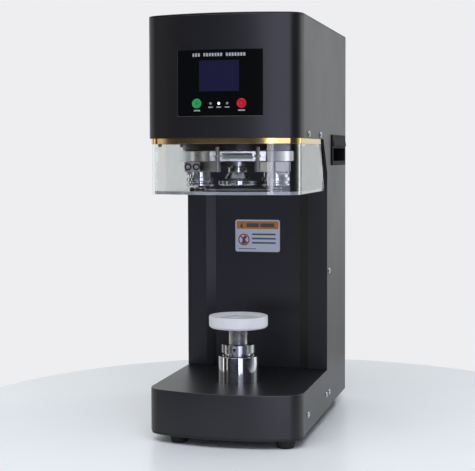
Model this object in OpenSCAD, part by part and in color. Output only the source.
/* [Housing] */
// Width over the two side panels
body_w = 200; // [190:1:240]
// Depth from the front of the bow to the back edge
body_d = 357; // [350:1:430]
// Height from the table to the top cover
body_h = 541; // [525:1:650]
// Height of the rubber feet
foot_h = 10; // [6:1:20]
// Thickness of the side panels
sheet_t = 3; // [2:0.5:4]
// Thickness of the bent front, base and top covers
cover_t = 3; // [2:0.5:4]
// Radius of the two front corners in plan
corner_r = 22; // [15:1:28]
// Distance from the bow to the seam between cover and side panel
seam_d = 35.3; // [32:0.5:45]
// Height of the top of the base
base_top = 68; // [62:1:80]
// Height of the underside of the head
head_z = 387; // [380:1:400]
// Depth of the open throat, from the bow to the column
throat_d = 201; // [195:1:215]
// Length that the column's gusset reaches forward under the head
gusset_d = 29; // [15:1:40]
// Height of the column's gusset
gusset_h = 45; // [30:1:60]
// Thickness of the base pan
pan_t = 3.5; // [2:0.5:6]
// Distance from the bow to the step where the base pan narrows
pan_step_d = 231; // [220:1:250]

/* [Column] */
// Depth of the recess down the column's front
recess_d = 6; // [3:1:9]
// Width of the flat at the bottom of the recess
recess_w = 121; // [110:1:130]
// Width of each slanted step beside the recess
recess_step = 12.5; // [6:0.5:14]
// Label width
label_w = 64; // [40:1:90]
// Label height
label_h = 45; // [30:0.5:60]
// Height of the label's middle
label_z = 252.5; // [150:0.5:290]

/* [Guard] */
// Thickness of the clear guard's wall
guard_t = 3; // [2:0.5:4]
// Gap between the outline of the head and the guard
guard_inset = 3.2; // [3.2:0.1:5]
// Height of the guard's lower edge
guard_z = 316.5; // [314:0.5:322]
// Thickness of the guard's clear floor
floor_t = 4; // [2:0.5:4]
// Radius of the hole in the guard's floor
floor_hole_r = 45; // [40:1:60]
// Height of the gold strip
gold_h = 7; // [5:1:10]
// Distance from the bow to the guard's rear edge at its top
guard_top_d = 164; // [150:1:170]
// Distance from the bow to the guard's rear edge at its bottom
guard_low_d = 194; // [172:1:198]

/* [Control panel] */
// Width of the control panel
panel_w = 108; // [100:1:120]
// Height of the control panel
panel_h = 81; // [76:1:95]
// Height of the panel's lower edge
panel_z = 414.5; // [408:0.5:420]
// Width of the display
screen_w = 51; // [40:1:60]
// Height of the display
screen_h = 38; // [30:1:42]
// Height of the display's lower edge above the panel's
screen_up = 30; // [28:1:36]
// Distance of each button from the middle
button_x = 28.5; // [26:0.5:36]
// Height of the buttons above the panel's lower edge
button_up = 15; // [12:0.5:18]
// Radius of the buttons
button_r = 6; // [5:0.25:7]
// Travel of the buttons
button_travel = 1; // [0.5:0.1:1.2]
// Distance between the indicator lights
light_gap = 10.5; // [8:0.5:11]
// Radius of the indicator lights
light_r = 2; // [1.5:0.25:3]

/* [Seaming head] */
// Distance from the bow to the seaming axis
axis_d = 96.5; // [94:0.5:100]
// Radius of the turret plate
turret_r = 76.5; // [75:0.5:80]
// Thickness of the turret plate
turret_t = 13; // [10:0.5:14]
// Distance from the axis to the turret plate's milled flats
turret_flat = 68; // [66:0.5:70]
// Radius of the cam disc
cam_r = 72; // [70:0.5:75]
// Thickness of the cam disc
cam_t = 8; // [7:0.5:9]
// Radius of the chuck
chuck_r = 25.5; // [24:0.1:26]
// Radius of the fixed chuck shaft
shaft_r = 9; // [7:0.5:10]
// Outer radius of the hollow spindle
spindle_r = 15; // [13:0.5:16]
// Outer radius of the cam's sleeve
sleeve_r = 20; // [19:0.5:22]
// Radius of the seaming rollers
roller_r = 19.5; // [17:0.1:19.5]
// Distance from the axis to a resting roller
roller_x = 49.5; // [49.5:0.1:51]
// Radius of the roller axles and the arms' pivot pins
pin_r = 5; // [4:0.5:6]
// Angle at which the turret rests, turned towards the user's right
turret_turn = 14; // [0:1:45]
// Thickness of the roller arms
arm_t = 12; // [10:0.5:13]
// Sideways distance of the arm pivots from the axis
pivot_x = 58; // [56:0.5:60]
// Forward distance of the arm pivots from the axis
pivot_y = 34; // [32:0.5:36]
// Clearance of running fits on the radius
run_fit = 0.05; // [0.02:0.01:0.1]
// Teeth of the spindle pulley
spindle_teeth = 50; // [48:1:52]
// Teeth of the cam pulley
cam_teeth = 51; // [48:1:53]
// Teeth of the motor pulleys
motor_teeth = 25; // [20:1:28]

/* [Motor] */
// Distance from the seaming axis to the motor's shaft
motor_d = 176.5; // [170:0.5:185]
// Radius of the main motor
motor_r = 45; // [38:1:50]
// Length of the main motor
motor_l = 145; // [110:5:160]

/* [Lift] */
// Outer radius of the lift's sleeve
lift_r = 26.4; // [25:0.1:31]
// Radius of the lift's piston
piston_r = 17.6; // [16:0.1:20.5]
// Travel of the lift
lift_travel = 30; // [20:1:32]
// Height of the sleeve's rim
sleeve_top = 101.8; // [96:0.2:104]
// Height of the piston's shoulder when it is down
piston_top = 106.3; // [104:0.1:108]
// Radius of the adjusting ring
ring_r = 22.2; // [20:0.1:25]
// Height of the adjusting ring
ring_h = 10.8; // [10:0.1:12]
// Radius of the threaded stem
stem_r = 12.9; // [10:0.1:13.5]
// Height of the tray's underside when the lift is down
tray_z = 139.3; // [137:0.1:142]
// Radius of the cup tray
tray_r = 38.7; // [38:0.1:47]
// Height of the cup tray
tray_h = 15.5; // [13:0.5:20]
// Radius of the seat that the cup stands in
seat_r = 35; // [30:0.5:36]
// Depth of the seat
seat_d = 4; // [3:0.5:7]
// Radius of the hole in the middle of the tray
tray_hole_r = 14.5; // [8:0.5:16]
// Radius of the lift's screw
screw_r = 7; // [5:0.5:7.5]
// Distance from the seaming axis to the lift motor
lift_motor_d = 150; // [145:1:160]

/* [Small parts] */
// Height of the carry handles
handle_h = 43; // [36:1:48]
// Length of the carry handles
handle_l = 113; // [95:1:115]
// Distance from the bow to the front of the handles
handle_d = 232.5; // [230:0.5:236]
// How far a handle's hood stands out
handle_out = 3.5; // [3:0.5:10]
// Side of the square posts
post_w = 20; // [16:1:24]
// Radius of the housing screws' heads
head_r = 4.2; // [3.5:0.1:5]
// Radius of the top of the rubber feet
foot_top_r = 13; // [9:0.5:14]
// Radius of the bottom of the rubber feet
foot_low_r = 10.3; // [7:0.1:12]
// Distance of the left feet from the middle
foot_left = 60; // [50:1:84]
// Distance of the right feet from the middle
foot_right = 78; // [50:1:84]
// Distance of the front feet from the bow
foot_front_d = 27; // [24:1:40]
// Distance of the rear feet from the back edge
foot_back_d = 30; // [20:1:40]

/* [Hidden] */
$fn = 96;
fit = 0.3;                                   // clearance between pieces that only meet
hw = body_w / 2;
in_x = hw - sheet_t;                         // inner faces of the side panels
yf = -body_d / 2;                            // front of the bow
yb = body_d / 2;
seam_y = yf + seam_d;
col_y = yf + throat_d;
axis_y = yf + axis_d;
motor_y = axis_y + motor_d;
lift_motor_y = axis_y + lift_motor_d;
sheet_z = foot_h + pan_t;                    // lower edges of the panels and covers
top_t = 2;
wall_top = body_h - top_t;

// Bow: one arc that is tangent to both corner arcs, which end square to the side panels
bow_a = hw - corner_r;
bow_r = (pow(bow_a, 2) + pow(seam_d, 2) - pow(corner_r, 2)) / (2 * (seam_d - corner_r));
bow_phi = atan2(bow_a, bow_r - seam_d);
function bow_pt(t, i) = abs(t) < bow_phi
    ? [(bow_r - i) * sin(t), yf + bow_r - (bow_r - i) * cos(t)]
    : [sign(t) * bow_a + (corner_r - i) * sin(t), seam_y - (corner_r - i) * cos(t)];
corner_n = 8;
bow_n = 14;
function front_curve(i) = concat(
    [for (k = [0:corner_n - 1]) bow_pt(-90 + k * (90 - bow_phi) / corner_n, i)],
    [for (k = [0:bow_n]) bow_pt((-1 + 2 * k / bow_n) * (bow_phi - 0.001), i)],
    [for (k = [corner_n - 1:-1:0]) bow_pt(90 - k * (90 - bow_phi) / corner_n, i)]);
// Depth of the bow's surface behind its front-most line, at a distance x from the middle
function bow_y(x, i) = yf + bow_r - sqrt(pow(bow_r - i, 2) - x * x);

// Frame heights
base_plate_t = 6;
floor_z = sheet_z + base_plate_t;            // top of the base plate
head_plate_z = head_z + 1.5;
head_plate_t = 8;
head_plate_top = head_plate_z + head_plate_t;
post_y = col_y + 4 + post_w / 2;
post_x = in_x - post_w / 2;
rail_w = 12;
rear_in = 1.5;
rear_t = 2;
rear_y = yb - rear_in;                       // outer face of the rear cover
rail_y = rear_y - rear_t - rail_w / 2;
rail_x = in_x - rail_w / 2;
plate_back = post_y + post_w / 2;            // rear edge of the head plate
bracket_z = head_plate_top + 28.5;
bracket_t = 6;

// Housing screws on each side: distance from the bow and height
flange_h = 26;
flange_t = 6;
screw_mid = sheet_z + 21.5;
side_screws = [
    [66, head_plate_z + head_plate_t / 2], [147.5, head_plate_z + head_plate_t / 2],
    [throat_d + 14, 205], [throat_d + 14, screw_mid], [throat_d - 8, screw_mid], [61, screw_mid]];
rear_screws = [60, 205, 345, wall_top - 24];
shank_r = 2.4;
shank_l = 12;

// Seaming head heights
gold_low = head_z - gold_h;
cam_top = head_z - 7;
cam_low = cam_top - cam_t;
turret_top = cam_low - 1;
turret_low = turret_top - turret_t;
arm_top = turret_low - 1;
arm_low = arm_top - arm_t;
roller_top = arm_low - 0.6;
roller_low = guard_z + floor_t + 3.3;
chuck_low = roller_low + 2.7;
chuck_top = turret_low - 8;
post_arm_x = 25;                             // spring posts on the arms' tails
post_arm_y = 76;
post_arm_r = 2.5;
follow_x = 30;                               // cam followers on the arms
follow_y = 48;
follow_r = 6.5;
follow_stem_r = 3.5;
groove_d = 5;
groove_in = norm([follow_x, follow_y]) - follow_r - 0.6;
groove_out = norm([follow_x, follow_y]) + follow_r + 3.6;
arm_x0 = 34;
arm_x1 = 68;
arm_y0 = 44;
arm_y1 = 12;
arm_round = 4;
arm_mid = (arm_low + arm_top) / 2;
arm_bolts = [63, 52.5];                      // cap screws on the front of the first arm
arm_bolt_r = 4.5;
arm_bolt_h = 5;
arm_pins_x = [40, 48];                       // four small holes in the front of the second arm
arm_pin_z = 2.5;
arm_hole_r = 1.3;

// Pulleys and belts: 5 mm pitch
belt_pitch = 5;
function pitch_r(teeth) = teeth * belt_pitch / (2 * PI);
belt_t = 2;
belt_gap = 0.3;
flange_over = 3.5;
cam_pulley_z = bracket_z + bracket_t + 8;
pulley_h = 12;
spindle_pulley_z = cam_pulley_z + pulley_h + 9;
spindle_top = spindle_pulley_z + pulley_h + 4;
housing_low = cam_top + 3.5;
housing_top = housing_low + 50;
housing_r = 38;
bearing_r = 31;
bearing_h = 12;
bridge_z = spindle_top + 14;
bridge_t = 8;
bridge_x = 75;

// Lift heights
nut_h = 12;
wall_h = 2;
pulley_low = floor_z + 4.5;
lift_pulley_h = 10;
lift_screw_teeth = 24;
lift_motor_teeth = 12;
piston_low = pulley_low + lift_pulley_h + 4;
screw_top = piston_low + nut_h + lift_travel + 8;
stem_low = piston_top - 11.5;
flange_low = tray_z - 3;
stem_flange_r = 20;
lift_bore = 21.5;
journal_r = 5;
bearing_seat_r = 13;

// ---- small shared shapes ----
module outline(i, back) {
    polygon(concat(front_curve(i), [[hw - i, back], [-hw + i, back]]));
}

module at_axis() {
    translate([0, axis_y, 0]) children();
}

// Pieces on the turret are drawn facing the front, then turned to where the turret rests
module at_turret() {
    at_axis() rotate(turret_turn) children();
}

module both_sides() {
    children();
    mirror([1, 0, 0]) children();
}

module tube(r, bore, z0, z1) {
    translate([0, 0, z0]) difference() {
        cylinder(r = r, h = z1 - z0);
        translate([0, 0, -1]) cylinder(r = bore, h = z1 - z0 + 2);
    }
}

module rod(r, z0, z1) {
    translate([0, 0, z0]) cylinder(r = r, h = z1 - z0);
}

module box(x0, x1, y0, y1, z0, z1) {
    translate([x0, y0, z0]) cube([x1 - x0, y1 - y0, z1 - z0]);
}

// Holes or shanks that run in from the right-hand side at every housing screw
module side_bores(r, x0, x1) {
    for (s = side_screws)
        translate([x0, yf + s[0], s[1]]) rotate([0, 90, 0]) cylinder(r = r, h = x1 - x0);
}

module rear_bores(r, y0, y1) {
    for (z = rear_screws)
        translate([rail_x, y0, z]) rotate([-90, 0, 0]) cylinder(r = r, h = y1 - y0);
}

// Toothed-belt loop between two pulleys; the first is at the origin, the second at distance d
module belt(r0, r1, d, z0, h) {
    translate([0, 0, z0]) linear_extrude(h) difference() {
        hull() {
            circle(r = r0 + belt_gap + belt_t, $fn = 64);
            translate([0, d]) circle(r = r1 + belt_gap + belt_t, $fn = 64);
        }
        hull() {
            circle(r = r0 + belt_gap, $fn = 64);
            translate([0, d]) circle(r = r1 + belt_gap, $fn = 64);
        }
    }
}

// Pulley with two flanges and a bore
module pulley(r, bore, z0, h) {
    difference() {
        union() {
            rod(r, z0, z0 + h);
            rod(r + flange_over, z0, z0 + 1);
            rod(r + flange_over, z0 + h - 1, z0 + h);
        }
        rod(bore, z0 - 1, z0 + h + 1);
    }
}

// ---- housing ----
module side_profile() {
    polygon([
        [seam_y, sheet_z], [yb, sheet_z], [yb, wall_top], [seam_y, wall_top], [seam_y, head_z],
        [col_y - gusset_d, head_z], [col_y, head_z - gusset_h], [col_y, base_top], [seam_y, base_top]]);
}

handle_y0 = yf + handle_d;
handle_z1 = head_plate_z + 5.5;
handle_z0 = handle_z1 - handle_h;
handle_rim = 4;
pocket_d = 24;

module side_panel() {
    difference() {
        translate([in_x, 0, 0]) rotate([90, 0, 90]) linear_extrude(sheet_t) side_profile();
        side_bores(shank_r + fit, in_x - 1, hw + 1);
        box(in_x - 1, hw + 1, handle_y0 + handle_rim - fit, handle_y0 + handle_l - handle_rim + fit,
            handle_z0 + handle_rim - fit, handle_z1 - handle_rim + fit);
    }
}

module right_side_panel() {
    color("#232526") side_panel();
}

module left_side_panel() {
    color("#232526") mirror([1, 0, 0]) side_panel();
}

module head_front_cover() {
    color("#232526") difference() {
        translate([0, 0, head_z]) linear_extrude(wall_top - head_z) difference() {
            outline(0, seam_y);
            outline(cover_t, seam_y + 1);
        }
        box(-panel_w / 2 - 0.2, panel_w / 2 + 0.2, yf - 1, seam_y - corner_r, panel_z - 0.2, panel_z + panel_h + 0.2);
    }
}

module head_top_cover() {
    rim = cover_t + fit;
    color("#232526") {
        translate([0, 0, wall_top]) linear_extrude(top_t) outline(0, yb);
        translate([0, 0, wall_top - 8]) linear_extrude(8) difference() {
            outline(rim, rail_y - rail_w);
            outline(rim + 2, rail_y - rail_w - 2);
        }
    }
}

module head_plate() {
    color("#8d9091") difference() {
        translate([0, 0, head_plate_z]) linear_extrude(head_plate_t) intersection() {
            outline(cover_t + fit, plate_back);
            translate([-in_x, yf]) square([2 * in_x, body_d]);
        }
        at_axis() rod(housing_r + fit, head_plate_z - 1, head_plate_top + 1);
        both_sides() side_bores(shank_r + 0.1, hw - shank_l - 1, hw);
        at_axis() for (a = [45:90:315]) rotate(a) translate([housing_r + 10, 0, 0])
            rod(2.6, head_plate_z - 1, head_plate_top + 1);
    }
}

module base_cover() {
    color("#232526") {
        difference() {
            union() {
                translate([0, 0, sheet_z]) linear_extrude(base_top - sheet_z) difference() {
                    outline(0, seam_y);
                    outline(cover_t, seam_y + 1);
                }
                translate([0, 0, base_top - cover_t]) linear_extrude(cover_t) union() {
                    outline(0, seam_y);
                    translate([-in_x, seam_y - 1]) square([2 * in_x, col_y + recess_d + 8 - seam_y]);
                }
            }
            at_axis() rod(lift_r + fit, base_top - cover_t - 1, base_top + 1);
            both_sides() box(post_x - post_w / 2 - fit, hw, post_y - post_w / 2 - fit, yb, base_top - 9, base_top + 1);
        }
    }
}

module base_pan() {
    color("#111213") difference() {
        translate([0, 0, foot_h]) linear_extrude(pan_t) union() {
            outline(1, yf + pan_step_d);
            translate([-hw + 20, yf + seam_d]) square([body_w - 40, body_d - seam_d - 4]);
        }
        at_axis() rod(3, foot_h - 1, sheet_z + 1);
    }
}

module base_plate() {
    color("#8d9091") difference() {
        union() {
            translate([0, 0, sheet_z]) linear_extrude(base_plate_t) intersection() {
                outline(cover_t + fit, rear_y - rear_t - fit);
                translate([-in_x, yf]) square([2 * in_x, body_d]);
            }
            both_sides() box(in_x - flange_t, in_x, seam_y + 8, col_y, floor_z - 1, floor_z + flange_h);
        }
        at_axis() rod(bearing_seat_r, sheet_z - 1, floor_z + 1);
        both_sides() side_bores(shank_r + 0.1, hw - shank_l - 1, hw);
    }
}

module frame_posts() {
    color("#8d9091") both_sides() {
        difference() {
            box(post_x - post_w / 2, in_x, post_y - post_w / 2, post_y + post_w / 2, floor_z, head_plate_z);
            box(post_x - post_w / 2 + 5, in_x - 3, post_y - post_w / 2 + 3, post_y + post_w / 2 - 3,
                floor_z + 3, head_plate_z - 3);
            side_bores(shank_r + 0.1, hw - shank_l - 6, hw);
        }
        difference() {
            box(rail_x - rail_w / 2, in_x, rail_y - rail_w / 2, rail_y + rail_w / 2, floor_z, wall_top - 1);
            rear_bores(shank_r + 0.1, rear_y - 10, rear_y);
        }
    }
}

module column_front_cover() {
    ct = 2;
    r0 = recess_w / 2;
    r1 = r0 + recess_step;
    e = in_x - 0.1;
    lead = [[e, 0], [r1, 0], [r0, recess_d], [-r0, recess_d], [-r1, 0], [-e, 0]];
    back = [[-e, ct], [-r1 - 0.9, ct], [-r0 - 0.9, recess_d + ct], [r0 + 0.9, recess_d + ct],
        [r1 + 0.9, ct], [e, ct]];
    color("#232526") translate([0, col_y, base_top]) linear_extrude(head_plate_z - base_top)
        polygon(concat(lead, back));
}

vent_x = 40;
vent_w = 56;
vent_h = 5;
vent_pitch = 11;
vent_drop = 150;
module vents(x, z, rows) {
    for (row = [0:rows - 1]) translate([0, 0, z + row * vent_pitch])
        box(x - vent_w / 2, x + vent_w / 2, rear_y - rear_t - 1, rear_y + 1, 0, vent_h);
}

module rear_cover() {
    color("#232526") difference() {
        box(-in_x + 0.1, in_x - 0.1, rear_y - rear_t, rear_y, sheet_z, wall_top);
        for (side = [-1, 1]) vents(side * vent_x, wall_top - vent_drop, 10);
        vents(-vent_w / 2, floor_z + 30, 6);
        both_sides() rear_bores(shank_r + fit, rear_y - rear_t - 1, rear_y + 1);
        inlet_body(fit);
        switch_body(fit);
    }
}

// ---- guard ----
module guard_side(z0, z1) {
    slope = (guard_low_d - guard_top_d) / (head_z - guard_z);
    far = guard_top_d - slope * (head_plate_z - head_z);
    rotate([90, 0, 90]) translate([0, 0, -hw]) linear_extrude(body_w)
        polygon([[yf, z0], [yf + guard_low_d, z0], [yf + far, z1], [yf, z1]]);
}

module clear_guard() {
    color("#dfe9ee80") intersection() {
        translate([0, 0, guard_z]) linear_extrude(head_plate_z - guard_z) difference() {
            outline(guard_inset, yb);
            outline(guard_inset + guard_t, yb + 1);
        }
        guard_side(guard_z, head_plate_z);
    }
}

module guard_floor() {
    color("#dfe9ee80") difference() {
        translate([0, 0, guard_z]) linear_extrude(floor_t)
            outline(guard_inset + guard_t + 0.1, yf + guard_top_d + 8);
        at_axis() rod(floor_hole_r, guard_z - 1, guard_z + floor_t + 1);
    }
}

module gold_trim() {
    color("#c79a3a") translate([0, 0, gold_low]) linear_extrude(gold_h - 0.1) difference() {
        outline(guard_inset - 1.1, yf + guard_top_d - 1);
        outline(guard_inset - 0.1, yf + guard_top_d);
    }
}

module guard_brackets() {
    x1 = hw - guard_inset - guard_t - 0.1;
    long = 14;
    leg = 12;
    t = 2;
    color("#b9bcbd") both_sides() for (d = [seam_d + 9, guard_top_d - 22]) {
        box(x1 - t, x1, yf + d, yf + d + long, head_plate_z - leg, head_plate_z);
        box(x1 - leg + t, x1, yf + d, yf + d + long, head_plate_z - t, head_plate_z);
    }
}

// ---- small housing parts ----
module rubber_feet() {
    color("#161718") for (x = [-foot_left, foot_right]) for (y = [yf + foot_front_d, yb - foot_back_d])
        translate([x, y, 0]) cylinder(r1 = foot_low_r, r2 = foot_top_r, h = foot_h);
}

module carry_handle() {
    y0 = handle_y0;
    y1 = y0 + handle_l;
    z0 = handle_z0;
    z1 = handle_z1;
    m = handle_rim;
    lip_z = z1 - 13;
    difference() {
        union() {
            box(hw, hw + 2, y0, y1, z0, z1);
            box(hw - pocket_d, hw + 1, y0 + m, y1 - m, z0 + m, z1 - m);
            translate([0, y0 + m, 0]) rotate([90, 0, 0]) mirror([0, 0, 1]) linear_extrude(handle_l - 2 * m)
                polygon([[hw + 1, lip_z - 3], [hw + handle_out, lip_z - 3], [hw + handle_out, lip_z],
                    [hw + 1, z1 - 1]]);
        }
        box(hw - pocket_d + 2, hw + handle_out + 1, y0 + m + 2, y1 - m - 2, z0 + m + 2, lip_z - 6);
        box(hw - pocket_d + 2, hw + handle_out - 3, y0 + m + 2, y1 - m - 2, z0 + m + 2, lip_z - 3);
    }
}

module carry_handles() {
    color("#17191a") both_sides() carry_handle();
}

module housing_screws() {
    color("#9a9c9d") both_sides() {
        side_bores(shank_r, hw - shank_l, hw + 0.5);
        for (s = side_screws) translate([hw, yf + s[0], s[1]]) rotate([0, 90, 0])
            cylinder(r1 = head_r, r2 = head_r - 1, h = 1.8);
        rear_bores(shank_r, rear_y - 9, rear_y + 0.5);
        for (z = rear_screws) translate([rail_x, rear_y, z]) rotate([-90, 0, 0])
            cylinder(r1 = head_r, r2 = head_r - 1, h = 1.4);
    }
}

module safety_label() {
    color("#d8dfe6") box(-label_w / 2, label_w / 2, col_y + recess_d - 0.4, col_y + recess_d,
        label_z - label_h / 2, label_z + label_h / 2);
}

// ---- control panel ----
module bow_strip(i0, i1, x0, x1) {
    n = 8;
    polygon(concat(
        [for (k = [0:n]) let(x = x0 + (x1 - x0) * k / n) [x, bow_y(x, i0)]],
        [for (k = [n:-1:0]) let(x = x0 + (x1 - x0) * k / n) [x, bow_y(x, i1)]]));
}

button_z = panel_z + button_up;
screen_z = panel_z + screen_up;
board_y = yf + 12;

module front_bore(x, z, r, y0, y1) {
    translate([x, y0, z]) rotate([-90, 0, 0]) cylinder(r = r, h = y1 - y0);
}

module control_panel() {
    color("#0b0c0e") difference() {
        translate([0, 0, panel_z]) linear_extrude(panel_h) bow_strip(0.3, cover_t, -panel_w / 2, panel_w / 2);
        box(-screen_w / 2 - 0.2, screen_w / 2 + 0.2, yf - 1, board_y, screen_z - 0.2, screen_z + screen_h + 0.2);
        for (s = [-1, 1]) front_bore(s * button_x, button_z, button_r + 0.2, yf - 1, board_y);
        for (k = [-1:1]) front_bore(k * light_gap, button_z, light_r + 0.15, yf - 1, board_y);
    }
}

module display_screen() {
    color("#23223f") translate([0, 0, screen_z]) linear_extrude(screen_h) union() {
        bow_strip(0.5, 4, -screen_w / 2, screen_w / 2);
        translate([-screen_w / 2, yf + 3]) square([screen_w, board_y - yf - 3]);
    }
}

module indicator_lights() {
    color("#d9dde2") for (k = [-1:1])
        front_bore(k * light_gap, button_z, light_r, bow_y(light_gap, 0) + 0.5, board_y);
}

module push_button(x) {
    front_bore(x, button_z, button_r, yf + 0.2, yf + 7);
    front_bore(x, button_z, button_r + 1.5, yf + 6.4, yf + 7.6);
    front_bore(x, button_z, 2, yf + 7, board_y - 2.6);
}

module start_button() {
    color("#1f9d4c") push_button(-button_x);
}

module stop_button() {
    color("#c3202c") push_button(button_x);
}

module control_board() {
    bx = panel_w / 2 - 5;
    color("#1d5a38") {
        box(-bx, bx, board_y, board_y + 1.6, panel_z + 4, panel_z + panel_h - 4);
        for (s = [-1, 1]) front_bore(s * button_x, button_z, 3, board_y - 1.4, board_y);
        for (x = [-bx + 4, bx - 4]) for (z = [panel_z + 8, panel_z + panel_h - 8])
            front_bore(x, z, 2.5, bow_y(bx, cover_t) + 0.2, board_y);
        box(-20, 20, board_y + 1.6, board_y + 12, panel_z + 20, panel_z + 60);
    }
}

// ---- power ----
inlet_x = 45;                                // mains inlet above it the power switch
inlet_z = 108;
inlet_w = 28;
inlet_h = 20;
switch_z = 142;
switch_w = 24;
switch_h = 16;
bezel = 4;
bezel_t = 1.4;
socket_w = 22;
socket_h = 14;
pin_pitch = 6;
module rear_box(w, h, z, front, back, g = 0) {
    box(inlet_x - w / 2 - g, inlet_x + w / 2 + g, rear_y - front - g, rear_y + back + g, z - h / 2 - g, z + h / 2 + g);
}

module inlet_body(g) {
    rear_box(inlet_w, inlet_h, inlet_z, 26, 0.01, g);
}

module switch_body(g) {
    rear_box(switch_w, switch_h, switch_z, 20, 0.01, g);
}

module power_inlet() {
    color("#141516") {
        difference() {
            union() {
                inlet_body(0);
                rear_box(inlet_w + 2 * bezel, inlet_h + 2 * bezel, inlet_z, 0, bezel_t);
            }
            rear_box(socket_w, socket_h, inlet_z, 19, 2);
        }
        for (k = [-1:1]) translate([k * pin_pitch, 0, k == 0 ? 2 : -2]) rear_box(2, 4, inlet_z, 21, -5);
        difference() {
            union() {
                switch_body(0);
                rear_box(switch_w + 2 * bezel, switch_h + 2 * bezel, switch_z, 0, bezel_t);
            }
            rear_box(switch_w - 4, switch_h - 4, switch_z, 14, 2);
        }
    }
}

rocker_tilt = 7;
rocker_in = 5;
module power_rocker() {
    color("#a01c22") translate([inlet_x, rear_y - rocker_in, switch_z]) rotate([rocker_tilt, 0, 0])
        difference() {
            box(-9.6, 9.6, -2.5, 4.2, -5, 5);
            rotate([0, 90, 0]) translate([0, 0, -11]) cylinder(r = 1.2, h = 22);
        }
}

module power_supply() {
    x0 = -55;
    x1 = 20;
    case_h = 26;
    rib = 12;
    color("#b4b7b8") {
        box(x0, x1, rear_y - 68, rear_y - 8, floor_z, floor_z + case_h);
        for (k = [0:5]) translate([x0 + 7 + k * rib, 0, floor_z + case_h]) box(0, rib / 2, rear_y - 64, rear_y - 12, 0, 2);
    }
}

// ---- drive ----
module motor_bracket() {
    color("#8d9091") difference() {
        union() {
            box(-in_x + 0.1, in_x - 0.1, post_y - post_w / 2, rail_y - rail_w / 2 - 1, bracket_z, bracket_z + bracket_t);
            both_sides() {
                box(post_x - post_w / 2, in_x - 0.1, post_y - post_w / 2, post_y + post_w / 2,
                    head_plate_top, bracket_z + 1);
                box(in_x - 5, in_x - 0.1, rail_y - 45, rail_y - rail_w / 2 - 1, bracket_z - 24, bracket_z + 1);
            }
        }
        translate([0, motor_y, 0]) rod(motor_r * 0.5, bracket_z - 1, bracket_z + bracket_t + 1);
    }
}

motor_shaft_r = 7;
module main_motor() {
    low = bracket_z - motor_l;
    color("#5b5f63") translate([0, motor_y, 0]) difference() {
        union() {
            rod(motor_r, low + 18, bracket_z - 6);
            rod(motor_r - 3, low, low + 18);
            translate([-motor_r, -motor_r, bracket_z - 6]) cube([2 * motor_r, 2 * motor_r, 6]);
            rod(motor_r * 0.5 - fit, bracket_z - 1, bracket_z + 4);
        }
        rod(motor_shaft_r + run_fit, bracket_z - 30, bracket_z + 5);
    }
}

module motor_pulley() {
    r = pitch_r(motor_teeth);
    color("#b9bcbd") translate([0, motor_y, 0]) {
        rod(motor_shaft_r, bracket_z - 28, spindle_top);
        pulley(r, motor_shaft_r - 0.5, cam_pulley_z, pulley_h);
        pulley(r, motor_shaft_r - 0.5, spindle_pulley_z, pulley_h);
    }
}

module spindle_belt() {
    color("#1b1b1c") at_axis() belt(pitch_r(spindle_teeth), pitch_r(motor_teeth), motor_d,
        spindle_pulley_z + 1.5, pulley_h - 3);
}

module cam_belt() {
    color("#1b1b1c") at_axis() belt(pitch_r(cam_teeth), pitch_r(motor_teeth), motor_d,
        cam_pulley_z + 1.5, pulley_h - 3);
}

module spindle_housing() {
    color("#6f7375") at_axis() difference() {
        union() {
            rod(housing_r, housing_low, housing_top);
            rod(housing_r + 17, head_plate_top, head_plate_top + 7);
        }
        rod(bearing_r - 3, housing_low - 1, housing_top + 1);
        rod(bearing_r + 0.02, housing_low - 1, housing_low + bearing_h + 0.5);
        rod(bearing_r + 0.02, housing_top - bearing_h - 0.5, housing_top + 1);
        for (a = [45:90:315]) rotate(a) translate([housing_r + 10, 0, 0])
            rod(2.7, head_plate_top - 1, head_plate_top + 8);
    }
}

module bearings() {
    color("#c9cccd") {
        at_axis() {
            tube(bearing_r, sleeve_r + run_fit, housing_low + 0.3, housing_low + bearing_h);
            tube(bearing_r, sleeve_r + run_fit, housing_top - bearing_h, housing_top - 0.3);
            tube(bearing_seat_r - 0.02, journal_r + run_fit, sheet_z + 0.1, floor_z - 0.1);
        }
    }
}

module spindle() {
    color("#c9cccd") at_turret() difference() {
        union() {
            rod(spindle_r, turret_low - 1, spindle_top);
            rod(spindle_r + 9, turret_low - 6, turret_low - 0.05);
        }
        rod(shaft_r + run_fit, turret_low - 7, spindle_top + 1);
    }
}

module spindle_pulley() {
    color("#b9bcbd") at_turret() pulley(pitch_r(spindle_teeth), spindle_r + 0.02, spindle_pulley_z, pulley_h);
}

module cam_disc() {
    color("#55585b") at_axis() difference() {
        union() {
            rod(cam_r, cam_low, cam_top);
            rod(sleeve_r, cam_top - 1, cam_pulley_z + pulley_h + 2);
        }
        difference() {
            rod(groove_out, cam_low - 1, cam_low + groove_d);
            rod(groove_in, cam_low - 2, cam_low + groove_d + 1);
        }
        rod(spindle_r + run_fit, cam_low - 1, spindle_top);
    }
}

module cam_pulley() {
    color("#b9bcbd") at_axis() pulley(pitch_r(cam_teeth), sleeve_r + 0.02, cam_pulley_z, pulley_h);
}

module turret_plate() {
    color("#d4d6d6") at_turret() difference() {
        intersection() {
            rod(turret_r, turret_low, turret_top);
            box(-turret_r, turret_r, -turret_flat, turret_flat, turret_low - 1, turret_top + 1);
        }
        rod(spindle_r + 0.02, turret_low - 1, turret_top + 1);
        for (s = [-1, 1]) {
            translate([s * pivot_x, -pivot_y, 0]) rod(pin_r + 0.02, turret_low - 1, turret_top + 1);
            translate([s * (follow_x + 0.6), -follow_y - 1.2, 0]) rod(8, turret_low - 1, turret_top + 1);
            translate([s * 40, 34, 0]) rod(4, turret_low - 1, turret_top + 1);
        }
    }
}

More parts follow.
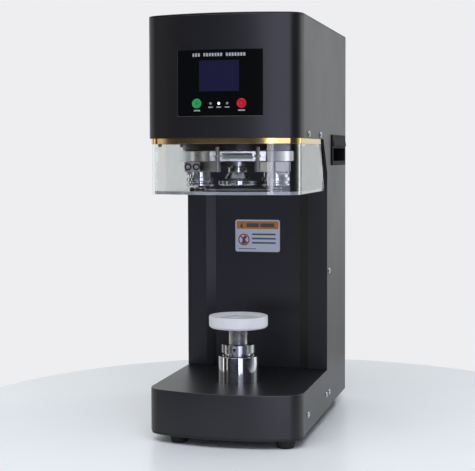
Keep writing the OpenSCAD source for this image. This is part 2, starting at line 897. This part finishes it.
module arm_pivot_pins() {
    color("#c9cccd") at_turret() for (s = [-1, 1]) translate([s * pivot_x, -pivot_y, 0]) {
        rod(pin_r, arm_low - 1, turret_top - 0.5);
        rod(pin_r + 3, arm_low - 4, arm_low - 0.3);
    }
}

// Arm on the right-hand side of the axis, seen from the front
module roller_arm() {
    difference() {
        union() {
            hull() for (x = [arm_x0 + arm_round, arm_x1 - arm_round]) for (y = [-arm_y0 + arm_round, arm_y1 - arm_round])
                translate([x, y, 0]) rod(arm_round, arm_low, arm_top);
            hull() {
                translate([post_arm_x, -post_arm_y, 0]) rod(4, arm_low, arm_top, $fn = 32);
                box(arm_x0, arm_x0 + 14, -arm_y0, -arm_y0 + 8, arm_low, arm_top);
            }
            hull() {
                translate([follow_x, -follow_y, 0]) rod(8, arm_low, arm_top, $fn = 32);
                box(arm_x0, arm_x0 + 8, -arm_y0, -arm_y0 + 16, arm_low, arm_top);
            }
            translate([post_arm_x, -post_arm_y, 0]) rod(post_arm_r, arm_top - 1, arm_top + 19);
            translate([follow_x, -follow_y, 0]) {
                rod(follow_stem_r + 1.3, arm_top - 1, cam_low);
                rod(follow_stem_r, arm_top - 1, cam_low + groove_d - 0.4);
            }
            translate([roller_x, 0, 0]) {
                rod(pin_r, roller_low - 0.2, arm_low + 1);
                rod(pin_r + 3, roller_low - 2.3, roller_low - 0.2);
            }
        }
        translate([pivot_x, -pivot_y, 0]) rod(pin_r + run_fit, arm_low - 1, arm_top + 1);
    }
}

module first_arm() {
    color("#a9aaa7") at_turret() {
        mirror([1, 0, 0]) roller_arm();
        for (x = arm_bolts) translate([-x, -arm_y0, arm_mid]) rotate([90, 0, 0]) difference() {
            translate([0, 0, -1]) cylinder(r = arm_bolt_r, h = arm_bolt_h + 1);
            translate([0, 0, arm_bolt_h - 2.5]) cylinder(r = arm_bolt_r / 2, h = 3, $fn = 6);
        }
    }
}

module second_arm() {
    color("#a9aaa7") at_turret() difference() {
        roller_arm();
        for (x = arm_pins_x) for (z = [-arm_pin_z, arm_pin_z]) translate([x, -arm_y0 - 1, arm_mid + z])
            rotate([-90, 0, 0]) cylinder(r = arm_hole_r, h = 5, $fn = 24);
    }
}

module roller(s) {
    groove = 2.5;
    z0 = roller_low;
    color("#cfd1d1") at_turret() translate([s * roller_x, 0, 0]) rotate_extrude() polygon([
        [pin_r + run_fit, z0], [roller_r - 4, z0], [roller_r, z0 + 2.7], [roller_r, z0 + 4.5],
        [roller_r - groove, z0 + 5.5], [roller_r - groove, z0 + 7.5], [roller_r, z0 + 8.5],
        [roller_r, z0 + 13], [roller_r - 3, z0 + 13], [roller_r - 3, roller_top],
        [pin_r + run_fit, roller_top]]);
}

module first_roller() {
    roller(-1);
}

module second_roller() {
    roller(1);
}

module follower(s) {
    color("#cfd1d1") at_turret() translate([s * follow_x, -follow_y, 0])
        tube(follow_r, follow_stem_r + run_fit, cam_low + 0.2, cam_low + groove_d - 0.3);
}

module first_follower() {
    follower(-1);
}

module second_follower() {
    follower(1);
}

// Close-wound coil as one turned body, with an eye round each spring post
module arm_spring() {
    coil = post_arm_x - 6;
    turns = 16;
    step = 2 * coil / turns;
    z = turret_low + turret_t / 2;
    ribs = [for (k = [0:2 * turns]) [k % 2 == 0 ? 3.2 : 4.2, -coil + k * step / 2]];
    color("#e6e6e4") at_turret() translate([0, -post_arm_y, z]) {
        rotate([0, 90, 0]) rotate_extrude() polygon(concat([[0, -coil]], ribs, [[0, coil]]));
        for (s = [-1, 1]) translate([s * post_arm_x, 0, 0]) {
            tube(post_arm_r + 2.5, post_arm_r + fit, -1, 1);
        }
        both_sides() box(coil - 1, post_arm_x - post_arm_r - 1, -1, 1, -1, 1);
    }
}

module chuck_shaft() {
    color("#c9cccd") at_axis() {
        rod(shaft_r, chuck_low + 7, bridge_z + bridge_t);
        difference() {
            union() {
                box(-bridge_x - 6, bridge_x + 6, -12, 12, bridge_z, bridge_z + bridge_t);
                both_sides() box(bridge_x - 6, bridge_x + 6, -12, 12, head_plate_top, bridge_z + 1);
            }
            rod(shaft_r - 1, bridge_z - 1, bridge_z + bridge_t + 1);
        }
    }
}

module chuck() {
    color("#cfd1d1") at_axis() difference() {
        rotate_extrude() polygon([
            [0, chuck_low], [chuck_r - 1, chuck_low], [chuck_r, chuck_low + 1], [chuck_r, chuck_low + 6],
            [chuck_r - 7, chuck_low + 9], [shaft_r + 3.5, chuck_low + 17], [shaft_r + 3.5, chuck_top],
            [0, chuck_top]]);
        rod(shaft_r + 0.02, chuck_low + 6.8, chuck_top + 1);
    }
}

// ---- lift ----
module lift_sleeve() {
    color("#cfd1d1") at_axis() difference() {
        union() {
            rod(lift_r, floor_z, sleeve_top);
            rod(lift_r + 10, floor_z, floor_z + 4);
        }
        rod(piston_r, floor_z - 1, sleeve_top + 1);
        rod(lift_bore, floor_z - 1, piston_low - 1);
        rod(lift_bore, sleeve_top - 3, sleeve_top + 1);
        box(-lift_r - 11, lift_r + 11, 2, lift_r + 11, floor_z + 1.5, piston_low - 1);
    }
}

module lift_piston() {
    color("#c2c4c4") at_axis() difference() {
        rod(piston_r - run_fit, piston_low, piston_top);
        rod(screw_r + run_fit, piston_low - 1, piston_low + nut_h + 1);
        rod(screw_r + 1.5, piston_low + nut_h, stem_low - wall_h - 0.5);
        rod(stem_r + run_fit, stem_low - 0.5, piston_top + 1);
    }
}

module adjusting_ring() {
    z0 = piston_top + 0.1;
    color("#b8babb") at_axis() difference() {
        tube(ring_r, stem_r + run_fit, z0, z0 + ring_h);
        for (a = [45:90:315]) rotate(a) translate([ring_r, 0, z0 - 1])
            translate([-2.5, -2, 0]) cube([6, 4, ring_h + 2]);
        translate([0, 0, z0 + ring_h / 2]) rotate([90, 0, 0]) cylinder(r = 2, h = ring_r + 1);
    }
}

module tray_stem() {
    color("#c9cccd") at_axis() {
        rod(stem_r, stem_low, tray_z);
        rod(stem_flange_r, flange_low, tray_z);
    }
}

module cup_tray() {
    color("#eef0f0") at_axis() difference() {
        rotate_extrude() polygon([
            [0, tray_z], [tray_r - 2.4, tray_z], [tray_r - 0.7, tray_z + 0.7], [tray_r, tray_z + 2.4],
            [tray_r, tray_z + tray_h - 0.8], [tray_r - 0.8, tray_z + tray_h], [0, tray_z + tray_h]]);
        rod(seat_r, tray_z + tray_h - seat_d, tray_z + tray_h + 1);
        rod(tray_hole_r, tray_z - 1, tray_z + tray_h);
    }
}

module lift_screw() {
    color("#b9bcbd") at_axis() {
        rod(journal_r, sheet_z + 0.3, floor_z + 1);
        rod(screw_r + 1, floor_z + 0.1, pulley_low - 0.1);
        rod(screw_r - 1, pulley_low - 1, pulley_low + lift_pulley_h + 1);
        rod(screw_r, pulley_low + lift_pulley_h + 0.2, screw_top);
    }
}

module lift_screw_pulley() {
    color("#b9bcbd") at_axis() difference() {
        rod(pitch_r(lift_screw_teeth), pulley_low, pulley_low + lift_pulley_h);
        rod(screw_r - 0.98, pulley_low - 1, pulley_low + lift_pulley_h + 1);
    }
}

lift_mount_z = pulley_low + lift_pulley_h + 8;
lift_motor_r = 18.5;
lift_motor_l = 78;
lift_shaft_r = 4;
mount_x = 32;
mount_y = 21;
module lift_motor() {
    color("#5b5f63") translate([0, lift_motor_y, 0]) difference() {
        union() {
            rod(lift_motor_r, lift_mount_z, lift_mount_z + lift_motor_l);
            box(-mount_x, mount_x, -mount_y, mount_y, lift_mount_z - 4, lift_mount_z + 0.1);
            for (x = [-1, 1]) for (y = [-1, 1]) translate([x * (mount_x - 5), y * (mount_y - 5), 0])
                rod(4, floor_z, lift_mount_z - 1);
        }
        rod(lift_shaft_r + run_fit, lift_mount_z - 5, lift_mount_z + 16);
    }
}

module lift_motor_pulley() {
    color("#b9bcbd") translate([0, lift_motor_y, 0]) {
        rod(lift_shaft_r, pulley_low - 2, lift_mount_z + 15);
        rod(pitch_r(lift_motor_teeth), pulley_low, pulley_low + lift_pulley_h);
        rod(pitch_r(lift_motor_teeth) + 2.5, pulley_low - 0.9, pulley_low + 0.1);
        rod(pitch_r(lift_motor_teeth) + 2.5, pulley_low + lift_pulley_h - 0.1, pulley_low + lift_pulley_h + 0.9);
    }
}

module lift_belt() {
    color("#1b1b1c") at_axis() belt(pitch_r(lift_screw_teeth), pitch_r(lift_motor_teeth), lift_motor_d,
        pulley_low + 1, lift_pulley_h - 2);
}

left_side_panel();
right_side_panel();
head_front_cover();
head_top_cover();
head_plate();
gold_trim();
clear_guard();
guard_floor();
guard_brackets();
column_front_cover();
rear_cover();
base_cover();
base_pan();
base_plate();
rubber_feet();
carry_handles();
housing_screws();
safety_label();
control_panel();
display_screen();
indicator_lights();
start_button();
stop_button();
control_board();
power_supply();
power_inlet();
power_rocker();
frame_posts();
motor_bracket();
main_motor();
motor_pulley();
spindle_belt();
cam_belt();
spindle_housing();
bearings();
spindle();
spindle_pulley();
cam_disc();
cam_pulley();
turret_plate();
first_arm();
second_arm();
arm_pivot_pins();
arm_spring();
first_roller();
second_roller();
first_follower();
second_follower();
chuck_shaft();
chuck();
lift_sleeve();
lift_piston();
adjusting_ring();
tray_stem();
cup_tray();
lift_screw();
lift_screw_pulley();
lift_motor();
lift_motor_pulley();
lift_belt();
